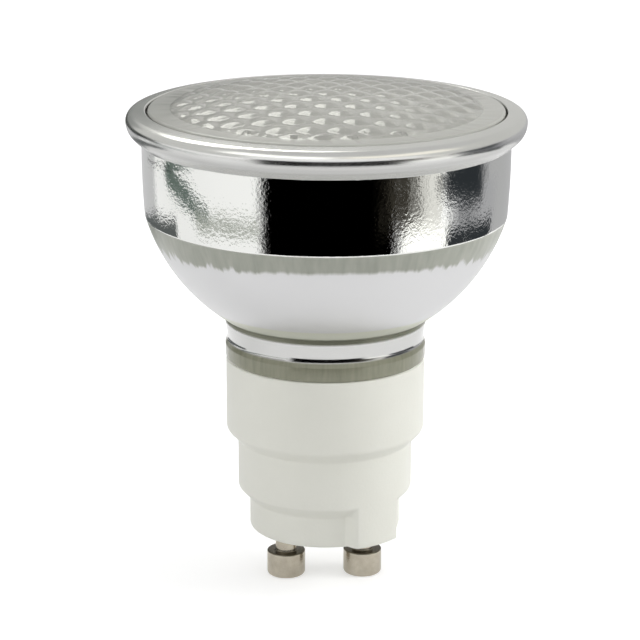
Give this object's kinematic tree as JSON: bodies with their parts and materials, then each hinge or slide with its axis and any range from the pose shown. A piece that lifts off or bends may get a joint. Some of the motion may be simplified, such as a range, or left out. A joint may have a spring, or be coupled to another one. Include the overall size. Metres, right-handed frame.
{
  "type": "metal halide reflector lamp",
  "caption": "Reflector lamp with a honeycomb glass front, mirrored bowl, rolled rim and stepped white ceramic base on headed twist-lock pins.",
  "frame": {"origin": "midway between the end faces of the contact pins, on the lamp's axis", "axes": "+Z along the lamp's axis towards the front lens; +X from the left contact pin to the right one"},
  "size_m": [0.0502, 0.0502, 0.0642],
  "materials": {
    "lens_glass": "clear pressed glass with hexagonal lenslets",
    "mirror_glass": "pressed glass with a bright metal film behind it",
    "rim_aluminium": "rolled and satin bright",
    "steatite": "white, unglazed and smooth",
    "pin_nickel": "nickel plated, satin",
    "seal": "matt",
    "cement": "matt lamp cement",
    "quartz": "clear fused quartz",
    "arc_ceramic": "translucent alumina",
    "lead_wire": "drawn wire",
    "tungsten": "dark drawn wire",
    "foil_metal": "thin rolled foil",
    "frit": "glossy sealing frit",
    "solder": "bright solder"
  },
  "bodies": {
    "root": {"front_lens": "lens_glass", "rim_ring": "rim_aluminium", "lens_seal": "seal", "reflector": "mirror_glass", "neck_cement": "cement", "capsule_cement": "cement", "ceramic_base": "steatite", "contact_pin_left": "pin_nickel", "contact_pin_right": "pin_nickel", "pin_solder_left": "solder", "pin_solder_right": "solder", "quartz_capsule": "quartz", "arc_tube": "arc_ceramic", "electrode_upper": "tungsten", "electrode_lower": "tungsten", "frit_seal_upper": "frit", "frit_seal_lower": "frit", "frame_wire_long": "lead_wire", "frame_wire_short": "lead_wire", "foil_left": "foil_metal", "foil_right": "foil_metal", "outer_lead_left": "lead_wire", "outer_lead_right": "lead_wire", "getter": "foil_metal"}
  },
  "joints": []
}
